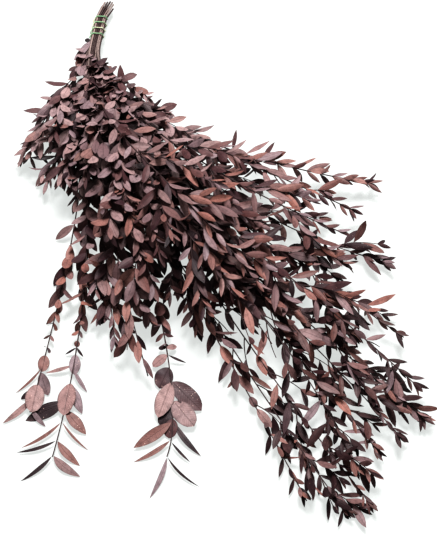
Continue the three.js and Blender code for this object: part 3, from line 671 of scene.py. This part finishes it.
def add(tree, kind, inputs=None, pick=None, **settings):
    """Adds a node, feeds its sockets, and returns the picked output, or its first."""
    node = tree.nodes.new(kind)
    for key, value in settings.items():
        setattr(node, key, value)
    for key, value in (inputs or {}).items():
        if isinstance(key, int):
            socket = node.inputs[key]
        else:
            socket = next(s for s in node.inputs if s.enabled and key in (s.identifier, s.name))
        for one in value if isinstance(value, list) else [value]:
            if isinstance(one, Wire):
                tree.links.new(one.socket, socket)
            else:
                socket.default_value = one
    shown = [s for s in node.outputs if s.enabled and pick in (None, s.name, s.identifier)]
    return Wire(tree, shown[0])


def parts_of(vector):
    """The three numbers of a vector."""
    node = add(vector.tree, "ShaderNodeSeparateXYZ", {"Vector": vector}).socket.node
    return [Wire(vector.tree, output) for output in node.outputs]


def vector_of(*parts):
    return add(parts[0].tree, "ShaderNodeCombineXYZ", dict(enumerate(parts)))


def new_tree(name, inputs):
    """A Geometry Nodes tree with its named inputs and one geometry output."""
    tree = bpy.data.node_groups.new(name, "GeometryNodeTree")
    tree.interface.new_socket("Geometry", in_out="OUTPUT", socket_type="NodeSocketGeometry")
    tree.interface.new_socket("Guide", in_out="INPUT", socket_type="NodeSocketGeometry")
    for label, kind in inputs:
        tree.interface.new_socket(label, in_out="INPUT", socket_type="NodeSocket" + kind)
    entry = tree.nodes.new("NodeGroupInput")
    return tree, {s.name: Wire(tree, s) for s in entry.outputs if s.name}


def close_tree(tree, geometry):
    """Ends a tree in plain, smooth geometry."""
    geometry = add(tree, "GeometryNodeRealizeInstances", {"Geometry": geometry})
    geometry = add(tree, "GeometryNodeSetShadeSmooth", {"Geometry": geometry})
    end = tree.nodes.new("NodeGroupOutput")
    tree.links.new(geometry.socket, end.inputs["Geometry"])
    return tree


def read(tree, name, kind="FLOAT"):
    """A number or a vector that each point carries."""
    return add(tree, "GeometryNodeInputNamedAttribute", {"Name": name}, data_type=kind)


def store(geometry, name, value, kind="FLOAT", domain="POINT"):
    inputs = {"Geometry": geometry, "Name": name, "Value": value}
    return add(geometry.tree, "GeometryNodeStoreNamedAttribute", inputs, data_type=kind, domain=domain)


def blade_outline(t, roundness):
    """Half width of a blade along its length: a short stalk, then a lens that is blunter on a round leaf."""
    past_stalk = add(t.tree, "ShaderNodeClamp", {"Value": (t - STALK) / (1 - STALK)})
    where = past_stalk ** (roundness * 0.1 + 0.92)
    lens = (where * pi).work("SINE").work("MAXIMUM", 0.0001)
    return lens ** (0.8 - roundness * 0.28)


def one_blade(tree, stations, strips):
    """A blade's closed skin in its own terms: t along it, v across it, upper 1 or -1 by its face, and rim."""
    sizes = {"Size X": 1.0, "Size Y": 2.0, "Vertices X": stations, "Vertices Y": strips}
    half = add(tree, "GeometryNodeMeshGrid", sizes)
    x, v, _ = parts_of(add(tree, "GeometryNodeInputPosition"))
    t = (x + 0.5) ** STATION_CROWDING
    edge = v.work("ABSOLUTE").work("GREATER_THAN", 0.999)
    ends = (t - 0.5).work("ABSOLUTE").work("GREATER_THAN", 0.4999)
    rim = edge.work("MAXIMUM", ends)
    for name, value in (("t", t), ("v", v), ("rim", rim)):
        half = store(half, name, value)
    faces = []
    for upper in (1.0, -1.0):
        across = v * (t * pi).work("SINE").work("MAXIMUM", 0.0)
        height = (1.0 - read(tree, "rim")) * upper * 0.1
        face = store(half, "upper", upper, domain="FACE")
        spot = vector_of(t, across, height)
        face = add(tree, "GeometryNodeSetPosition", {"Geometry": face, "Position": spot})
        if upper < 0:
            face = add(tree, "GeometryNodeFlipFaces", {"Mesh": face})
        faces.append(face)
    both = add(tree, "GeometryNodeJoinGeometry", {"Geometry": faces})
    return add(tree, "GeometryNodeMergeByDistance", {"Geometry": both, "Distance": 0.0005})


def blades(tree, inputs):
    """A blade on every leaf root of the guide, shaped by the root's own numbers."""
    chosen = {"Geometry": inputs["Guide"], "Selection": read(tree, "leaf")}
    roots = add(tree, "GeometryNodeSeparateGeometry", chosen)
    blade = one_blade(tree, inputs["Stations"], inputs["Strips"])
    placed = add(tree, "GeometryNodeInstanceOnPoints", {"Points": roots, "Instance": blade})
    skin = add(tree, "GeometryNodeRealizeInstances", {"Geometry": placed})

    t, v, length, width, bend = (read(tree, name) for name in ("t", "v", "length", "width", "bend"))
    root, ahead, side = (read(tree, name, "FLOAT_VECTOR") for name in ("root", "ahead", "side"))
    face = ahead.work("CROSS_PRODUCT", side)
    turned = bend * t
    out_of_plane = face * turned.work("COSINE") + ahead * turned.work("SINE")
    outline = blade_outline(t, read(tree, "roundness"))
    reach = ahead * (length * turned.work("SINE") / bend)
    drop = face * (length * (1.0 - turned.work("COSINE")) / bend)
    wide = width * 0.5 * outline
    ripple = (t * RIPPLE_TURN + read(tree, "wave") * RIPPLE_START).work("SINE") * v * RIPPLE_HEIGHT
    cup = v.work("ABSOLUTE") ** CUP_POWER * read(tree, "fold")
    aside = side * (wide * v + read(tree, "sickle") * length * t * t)
    lifted = out_of_plane * (wide * (cup + ripple))
    middle = root + reach - drop + aside + lifted
    lens = (1.0 - v * v) * outline * (1.0 - read(tree, "rim"))
    thick = out_of_plane * (lens * inputs["Thickness"] * read(tree, "upper"))

    x, y, z = parts_of(middle)
    resting = vector_of(x, y, z.work("MAXIMUM", inputs["Thickness"] * ABOVE_TABLE))
    skin = add(tree, "GeometryNodeSetPosition", {"Geometry": skin, "Position": resting + thick})
    skin = store(skin, "UVMap", vector_of(t, v * 0.5 + 0.5, 0.0), "FLOAT2", "CORNER")
    sharp = read(tree, "rim").work("GREATER_THAN", 0.99)
    skin = store(skin, "sharp_edge", sharp, "BOOLEAN", "EDGE")
    return add(tree, "GeometryNodeSetMaterial", {"Geometry": skin, "Material": inputs["Leaf finish"]})


def rods(tree, inputs, finish):
    """A round rod along every line of the guide, as thick as the line says."""
    lines = add(tree, "GeometryNodeMeshToCurve", {"Mesh": inputs["Guide"]})
    ring = add(tree, "GeometryNodeCurvePrimitiveCircle", {"Resolution": inputs["Sides"], "Radius": 1.0})
    sweep = {"Curve": lines, "Profile Curve": ring, "Scale": read(tree, "thick"), "Fill Caps": True}
    swept = add(tree, "GeometryNodeCurveToMesh", sweep)
    return add(tree, "GeometryNodeSetMaterial", {"Geometry": swept, "Material": inputs[finish]})


def leafy_stem_tree():
    """Wood along the guide's lines and a blade on each of its leaf roots."""
    counts = [(name, "Int") for name in ("Stations", "Strips", "Sides")]
    finishes = [(name, "Material") for name in ("Leaf finish", "Bark finish")]
    tree, inputs = new_tree("leafy stem", [*counts, ("Thickness", "Float"), *finishes])
    wood = rods(tree, inputs, "Bark finish")
    return close_tree(tree, add(tree, "GeometryNodeJoinGeometry", {"Geometry": [wood, blades(tree, inputs)]}))


def guide_mesh(name, points, edges, attributes):
    """Lines and loose points in metres, each point with its numbers and vectors."""
    mesh = bpy.data.meshes.new(name)
    mesh.from_pydata([tuple(p) for p in points], edges, [])
    for key, values in attributes.items():
        values = np.asarray(values, np.float32)
        kind, field = ("FLOAT_VECTOR", "vector") if values.ndim == 2 else ("FLOAT", "value")
        mesh.attributes.new(key, kind, "POINT").data.foreach_set(field, values.ravel())
    return mesh


def new_object(name, data):
    thing = bpy.data.objects.new(name, data)
    bpy.context.scene.collection.objects.link(thing)
    return thing


def made_by(tree, name, guide, values):
    """A plain mesh object, made by a node tree from a guide mesh."""
    maker = new_object(name + "_maker", guide)
    modifier = maker.modifiers.new("grow", "NODES")
    modifier.node_group = tree
    for item in tree.interface.items_tree:
        if item.in_out == "INPUT" and item.name in values:
            modifier[item.identifier] = values[item.name]
    graph = bpy.context.evaluated_depsgraph_get()
    mesh = bpy.data.meshes.new_from_object(maker.evaluated_get(graph), depsgraph=graph)
    maker.modifiers.remove(modifier)
    bpy.data.objects.remove(maker)
    mesh.name = name
    return new_object(name, mesh)


# Finishes


def srgb(red, green, blue):
    """A colour as Blender takes it, from the 0 to 255 values that a screen shows."""
    parts = [c / 255 for c in (red, green, blue)]
    return (*(c / 12.92 if c <= 0.04045 else ((c + 0.055) / 1.055) ** 2.4 for c in parts), 1.0)


def new_finish(name, **constants):
    """A material with these values on its surface, its node tree and that surface."""
    material = bpy.data.materials.new(name)
    material.use_nodes = True
    tree = material.node_tree
    surface = tree.nodes["Principled BSDF"]
    for key, value in constants.items():
        surface.inputs[key.replace("_", " ")].default_value = value
    return material, tree, surface


def feed(surface, name, wire):
    wire.tree.links.new(wire.socket, surface.inputs[name])


def own(tree, name):
    """A number that each blade or stem carries."""
    return add(tree, "ShaderNodeAttribute", pick="Fac", attribute_name=name)


def here(tree):
    return add(tree, "ShaderNodeTexCoord", pick="Object")


def noise(tree, scale, detail=3.0, where=None):
    return add(tree, "ShaderNodeTexNoise", {"Vector": where or here(tree), "Scale": scale, "Detail": detail})


def eased(value, low, high):
    """0 below low, 1 above high, and smooth between."""
    inputs = {"Value": value, "From Min": low, "From Max": high}
    return add(value.tree, "ShaderNodeMapRange", inputs, interpolation_type="SMOOTHSTEP")


def blend(a, b, share):
    inputs = {"Factor_Float": share, "A_Color": a, "B_Color": b}
    return add(share.tree, "ShaderNodeMix", inputs, pick="Result_Color", data_type="RGBA")


def tones(share, colours):
    """A colour out of an even row of colours."""
    node = add(share.tree, "ShaderNodeValToRGB", {"Fac": share}).socket.node
    ramp = node.color_ramp
    while len(ramp.elements) < len(colours):
        ramp.elements.new(0.5)
    for i, (element, colour) in enumerate(zip(ramp.elements, colours)):
        element.position = i / (len(colours) - 1)
        element.color = colour
    return Wire(share.tree, node.outputs["Color"])


def bump(surface, height, strength, distance):
    inputs = {"Height": height, "Strength": strength, "Distance": distance}
    normal = add(height.tree, "ShaderNodeBump", inputs)
    feed(surface, "Normal", normal)


TERRACOTTA = srgb(146, 101, 91)
RUSSET = srgb(118, 84, 79)
DUSTY_PINK = srgb(156, 131, 130)
MAUVE = srgb(126, 108, 112)
BURGUNDY = srgb(84, 56, 57)
DEEP_PLUM = srgb(58, 38, 43)
NEAR_BLACK = srgb(26, 16, 20)
WINE_BLACK = srgb(34, 12, 14)
DEEP_SHADE = srgb(22, 10, 12)
MOTTLE = srgb(32, 20, 22)
BLOOM = srgb(176, 142, 140)
SPECK = srgb(206, 178, 166)
# Dark bark among the leaves; on the darkest stems by the tie it is partly painted shade for the gaps between
# them
YOUNG_BARK_AND_SHADE = (srgb(30, 20, 22), srgb(66, 45, 45))
OLD_BARK = (srgb(78, 63, 61), srgb(178, 158, 151))
BARK_SCAR = srgb(44, 26, 26)
ELASTIC = (srgb(118, 160, 122), srgb(196, 198, 170))
ELASTIC_GRAIN = srgb(84, 120, 84)
TABLE = (srgb(116, 117, 117), srgb(121, 121, 121))
TABLE_GLOW = srgb(248, 252, 250)

# How fine each pattern of a leaf is, in cells a metre
MOTTLE_SCALE, FLECK_SCALE, BLOOM_SCALE = 130.0, 420.0, 45.0
SPECK_SCALE, PATCH_SCALE, GRAIN_SCALE = 330.0, 60.0, 900.0
VEINS, VEIN_SLANT, VEIN_SHARPNESS = 15.0, 3.0, 9.0

# How far each thing moves a leaf from its pale side to its dark one, and the range over which it does. Being
# covered by other leaves moves it as painted shade.
DARKER_ABOVE, DARKER_GROWN, DARKER_FAR, PAINTED_SHADE_COVERED, PALER = 0.15, 0.1, 0.22, 0.12, 0.06
PALE_TO_DARK = (0.62, 0.8)
# How far some leaves far out go to wine black, and how far painted shade takes a leaf deep under others to a
# deep shade colour
FAR_SHADE, COVERED_SHADE = 0.68, 0.7


def leaf_colour(tree):
    """A dyed leaf's ground colour: dark above, dusty or terracotta below, darker far out, with painted shade
    deep down under other leaves.
    """
    tone, grown, far, covered, shown = (own(tree, n) for n in ("tone", "grown", "far", "covered", "shown"))
    dusty = tones(tone, [RUSSET, DUSTY_PINK, MAUVE, BURGUNDY, DUSTY_PINK, MAUVE])
    warm = tones(tone, [TERRACOTTA, RUSSET, MAUVE, RUSSET, BURGUNDY, TERRACOTTA])
    pale = blend(dusty, warm, eased(grown + own(tree, "wear") * 0.5, 0.65, 1.3))
    dark = tones(tone, [NEAR_BLACK, DEEP_PLUM, BURGUNDY, DEEP_PLUM, BURGUNDY])
    darkness = shown + own(tree, "upper") * DARKER_ABOVE + grown * DARKER_GROWN
    # Painted shade: a leaf that others cover moves towards its dark side
    darkness = darkness + far * DARKER_FAR + covered * PAINTED_SHADE_COVERED - PALER
    colour = blend(pale, dark, eased(darkness, *PALE_TO_DARK))
    colour = blend(colour, WINE_BLACK, far * eased(shown, 0.1, 0.5) * FAR_SHADE)
    # Painted shade: a leaf deep under others goes most of the way to a deep shade colour
    return blend(colour, DEEP_SHADE, eased(covered, 0.1, 0.9) * COVERED_SHADE)


def leaf_finish():
    """A dyed, pressed leaf, with its rib, veins, dark margin, mottling, dull bloom, pale specks, and painted
    shade where other leaves cover it.
    """
    material, tree, surface = new_finish("dyed_leaf", Specular_IOR_Level=0.3)
    t, v, _ = parts_of(add(tree, "ShaderNodeUVMap", uv_map="UVMap"))
    v = (v * 2.0 - 1.0).work("ABSOLUTE")
    mottle = noise(tree, MOTTLE_SCALE, 4.0)
    rib = 1.0 - eased(v, 0.015, 0.085)
    veins = ((t * VEINS - v * VEIN_SLANT) * pi).work("SINE").work("ABSOLUTE") ** VEIN_SHARPNESS
    colour = leaf_colour(tree)
    for layer, over, strength in (
        (eased(noise(tree, FLECK_SCALE, 2.0), 0.5, 0.66), NEAR_BLACK, 0.22),
        (eased(mottle, 0.42, 0.75), MOTTLE, 0.35),
        (eased(noise(tree, BLOOM_SCALE, 2.0), 0.5, 0.8), BLOOM, 0.14),
        (eased(v, 0.8, 1.0), NEAR_BLACK, 0.45),
        (rib, NEAR_BLACK, 0.4),
        (veins, NEAR_BLACK, 0.12),
    ):
        colour = blend(colour, over, layer * strength)
    cells = add(tree, "ShaderNodeTexVoronoi", {"Vector": here(tree), "Scale": SPECK_SCALE})
    specks = (1.0 - eased(cells, 0.08, 0.2)) * own(tree, "specks")
    specks = specks * eased(noise(tree, PATCH_SCALE, 1.0), 0.42, 0.6)
    feed(surface, "Base Color", blend(colour, SPECK, specks))

    grain = noise(tree, GRAIN_SCALE, 2.0)
    feed(surface, "Roughness", mottle * 0.25 + grain * 0.1 + 0.36)
    bump(surface, grain * 0.35 + mottle * 0.5 - rib * 0.9 - veins * 0.35, 0.45, 0.0004)
    return material


def bark_finish():
    """Thin bark: mauve brown and weathered where the stems are bare, dark burgundy among the leaves, and on
    the darkest stems by the tie partly painted shade for the gaps between them.
    """
    material, tree, surface = new_finish("stem_bark", Specular_IOR_Level=0.35)
    stretch = add(tree, "ShaderNodeMapping", {"Vector": here(tree), "Scale": (60.0, 160.0, 160.0)})
    streaks = noise(tree, 6.0, 4.0, stretch)
    young_and_shade, old = (blend(*pair, streaks) for pair in (YOUNG_BARK_AND_SHADE, OLD_BARK))
    scars = eased(noise(tree, 240.0, 2.0), 0.58, 0.7)
    colour = blend(blend(young_and_shade, old, own(tree, "pale")), BARK_SCAR, scars * 0.55)
    feed(surface, "Base Color", colour)
    feed(surface, "Roughness", streaks * 0.3 + 0.45)
    bump(surface, streaks + scars * 0.5, 0.6, 0.0003)
    return material


def elastic_finish():
    """Pale green elastic, yellowed in patches, with a fine darker grain."""
    values = dict(Specular_IOR_Level=0.4, Subsurface_Weight=0.15, Subsurface_Scale=0.001)
    material, tree, surface = new_finish("pale_green_elastic", **values)
    colour = blend(*ELASTIC, eased(noise(tree, 55.0, 2.0), 0.4, 0.62))
    fine = noise(tree, 1500.0, 2.0)
    colour = blend(colour, ELASTIC_GRAIN, eased(fine, 0.5, 0.75) * 0.4)
    feed(surface, "Base Color", colour)
    feed(surface, "Roughness", fine * 0.2 + 0.42)
    bump(surface, fine, 0.5, 0.0002)
    return material


def table_finish():
    """A pale, dull table that glows a little, as under a studio's own light."""
    values = dict(Specular_IOR_Level=0.05, Emission_Color=TABLE_GLOW, Emission_Strength=0.5)
    material, tree, surface = new_finish("pale_table", **values)
    feed(surface, "Base Color", blend(*TABLE, noise(tree, 3.0)))
    feed(surface, "Roughness", noise(tree, 40.0) * 0.1 + 0.7)
    return material


# Pieces

TIE_MIDDLE = (-4.8624, 3.5395)  # of the tie's box, from the point that the rule measures from
COLOUR_NUMBERS = ("tone", "shown", "wear", "grown", "far", "specks", "covered")
SHAPE_NUMBERS = ("length", "width", "bend", "fold", "sickle", "wave", "roundness")
KEPT = (*COLOUR_NUMBERS, "upper", "pale", "UVMap", "sharp_edge", "sharp_face", "material_index")
WEATHERED = (0.3, 0.8)  # the draws between which a stem's bare wood goes from fresh to pale; the darkest stems by the tie are partly painted shade for the gaps between them
PALE_ENDS = (20, 110)  # and the distances from the tie over which that fades into dark bark, which is partly painted shade between the stems


# The step from the rule's own origin, at the tie, to the imported part's frame
low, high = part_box("tie")
to_part = np.array([*((low[i] + high[i]) / 2 - TIE_MIDDLE[i] * MM for i in (0, 1)), 0])


def stem_guide(stem, number, leaves):
    """The lines of a stem's wood and the roots of its leaves, with the numbers that each carries."""
    points, edges, thick, pale = [], [], [], []
    for shoot in shoots_of(stem, number):
        line, radii = wood_of(stem, number, shoot)
        edges += [(len(points) + i, len(points) + i + 1) for i in range(len(line) - 1)]
        points += [p * MM + to_part for p in line]
        thick += [r * MM for r in radii]
        weathered = smooth(draw(number, 0, WEAR), *WEATHERED) if shoot["number"] == 0 else 0
        pale += [weathered * (1 - smooth(hypot(p[0], p[1]), *PALE_ENDS)) for p in line]
    bare_wood = len(points)
    roots = [leaf["root"] + to_part for leaf in leaves]
    numbers = {
        "leaf": [0] * bare_wood + [1] * len(leaves),
        "thick": thick + [0] * len(leaves),
        "pale": pale + [0] * len(leaves),
        "root": points + roots,
    }
    for key in SHAPE_NUMBERS + COLOUR_NUMBERS:
        numbers[key] = [0] * bare_wood + [leaf[key] for leaf in leaves]
    for key in ("ahead", "side"):
        numbers[key] = [UP] * bare_wood + [leaf[key] for leaf in leaves]
    return guide_mesh(stem["name"] + "_guide", points + roots, edges, numbers)


def finish_piece(piece, node):
    """Drops the numbers that only the growing used, and puts the piece in the place of its node."""
    for attribute in list(piece.data.attributes):
        if not (attribute.is_required or attribute.name.startswith(".") or attribute.name in KEPT):
            piece.data.attributes.remove(attribute)
    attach(piece, "root")
    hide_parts(node)


def make_stems(leaf, bark):
    tree = leafy_stem_tree()
    values = {"Strips": STRIPS, "Sides": STEM_SIDES, "Thickness": BLADE_HALF * MM}
    values |= {"Leaf finish": leaf, "Bark finish": bark}
    leaves = [leaves_on(stem, i + 1) for i, stem in enumerate(STEMS)]
    set_painted_shade_cover([leaf for group in leaves for leaf in group])
    for i, stem in enumerate(STEMS):
        guide = stem_guide(stem, i + 1, leaves[i])
        values["Stations"] = TRAILING_STATIONS if stem["trail"] else STATIONS
        piece = made_by(tree, "leafy_stem_" + stem["name"], guide, values)
        finish_piece(piece, "stem_" + stem["name"])


# Tie


def tie_spot(turned):
    """The middle of the elastic where it has turned so far, outside the outermost stem on that side."""
    gap = STEM_RADIUS + TIE_CLEARANCE + TIE_RADIUS
    x, y = cos(turned), sin(turned)
    outer = max((place(stem) for stem in STEMS), key=lambda spot: spot[0] * x + spot[1] * y)
    along = TIE_AT + (turned / (2 * pi * TIE_TURNS) - 0.5) * TIE_LENGTH
    return in_bundle(along, outer[0] + gap * x, outer[1] + gap * y)


def elastic_tree():
    tree, inputs = new_tree("elastic", [("Sides", "Int"), ("Elastic finish", "Material")])
    return close_tree(tree, rods(tree, inputs, "Elastic finish"))


def make_tie(finish):
    """The wound elastic, with fine ribs and pinched ends."""
    steps = whole(TIE_TURNS * TIE_STEPS)
    points, thick = [], []
    for i in range(steps + 1):
        turned = 2 * pi * TIE_TURNS * i / steps
        points.append(tie_spot(turned) * MM + to_part)
        pinch = smooth(min(i, steps - i), *TIE_PINCH)
        thick.append(TIE_RADIUS * MM * pinch * (TIE_STRETCHED + TIE_RIB * sin(i * TIE_RIB_TURN)))
    edges = [(i, i + 1) for i in range(steps)]
    guide = guide_mesh("tie_guide", points, edges, {"thick": thick})
    values = {"Sides": TIE_SIDES, "Elastic finish": finish}
    finish_piece(made_by(elastic_tree(), "wound_elastic", guide, values), "tie")


# Stage

CAMERA_AT = (1007.6, -408.2, 1412.7)
CAMERA_TO = (357.1, -32.6, 0.0)
CAMERA_LENS = 92.75
TABLE_HALF = 8
KEY_AT = (-1.0, 0.75, 3.0)
KEY_TO = (0.05, 0.0, 0.0)
KEY_SIZE = 1.2
KEY_POWER = 168
WORLD_COLOUR = (1.0, 0.97, 0.95, 1.0)
WORLD_STRENGTH = 0.36


def part_point(spot):
    return Vector(np.array(spot) * MM + to_part)


def aimed(name, data, start, end):
    """A camera or light that stands at the start and looks at the end."""
    thing = new_object(name, data)
    thing.location = start
    thing.rotation_euler = (end - start).to_track_quat("-Z", "Y").to_euler()
    return thing


def make_camera():
    data = bpy.data.cameras.new("camera")
    data.lens = CAMERA_LENS
    data.sensor_width = 36
    bpy.context.scene.camera = aimed("camera", data, part_point(CAMERA_AT), part_point(CAMERA_TO))


def make_light():
    data = bpy.data.lights.new("soft_key", "AREA")
    data.shape = "DISK"
    data.size = KEY_SIZE
    data.energy = KEY_POWER
    aimed("soft_key", data, Vector(KEY_AT), Vector(KEY_TO))


def make_stage():
    """A plain table and an even room round it."""
    mesh = bpy.data.meshes.new("table")
    half = TABLE_HALF
    corners = [(-half, -half, 0), (half, -half, 0), (half, half, 0), (-half, half, 0)]
    mesh.from_pydata(corners, [], [(0, 1, 2, 3)])
    mesh.materials.append(table_finish())
    table = new_object("table", mesh)
    world = bpy.data.worlds.new("studio")
    bpy.context.scene.world = world
    world.use_nodes = True
    backdrop = world.node_tree.nodes["Background"]
    backdrop.inputs["Color"].default_value = WORLD_COLOUR
    backdrop.inputs["Strength"].default_value = WORLD_STRENGTH
    view = bpy.context.scene.view_settings
    view.view_transform, view.look = "Standard", "High Contrast"


make_camera()
make_light()
make_stage()
make_stems(leaf_finish(), bark_finish())
make_tie(elastic_finish())
